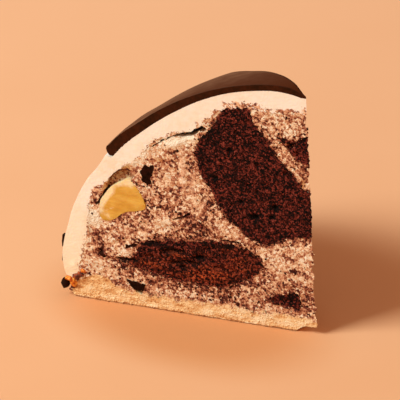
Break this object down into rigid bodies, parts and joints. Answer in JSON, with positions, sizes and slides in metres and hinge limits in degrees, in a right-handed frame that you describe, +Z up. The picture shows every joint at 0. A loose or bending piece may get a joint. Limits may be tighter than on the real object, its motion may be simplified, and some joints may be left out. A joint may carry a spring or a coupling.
{
  "type": "slice of sour cream cake",
  "caption": "Slice of a domed sour cream cake with chocolate sponge and fruit in cream, a cream coat, a chocolate glaze and a pale sponge base.",
  "frame": {"origin": "middle of the slice's footprint, on the surface it stands on", "axes": "+Z up; +X from the rind to the slice's pointed tip; the two cut faces stand 18 degrees either side of X, the one in the picture towards -Y"},
  "size_m": [0.1035, 0.0632, 0.1006],
  "materials": {
    "cream": "satin",
    "filling": "matte",
    "sponge": "matte",
    "pale_sponge": "matte",
    "chocolate": "gloss",
    "fruit": "satin"
  },
  "bodies": {
    "root": {"cream_coat": "cream", "cream_filling": "filling", "sponge_base": "pale_sponge", "chocolate_glaze": "chocolate", "sponge_large": "sponge", "sponge_lower": "sponge", "sponge_tip_top": "sponge", "sponge_tip_low": "sponge", "sponge_far": "sponge", "fruit_near": "fruit", "fruit_far": "fruit", "chip_tall": "chocolate", "chip_left": "chocolate", "chip_rim": "chocolate", "chip_low": "chocolate", "chip_far_high": "chocolate", "chip_far_mid": "chocolate", "chip_far_low": "chocolate"}
  },
  "joints": []
}
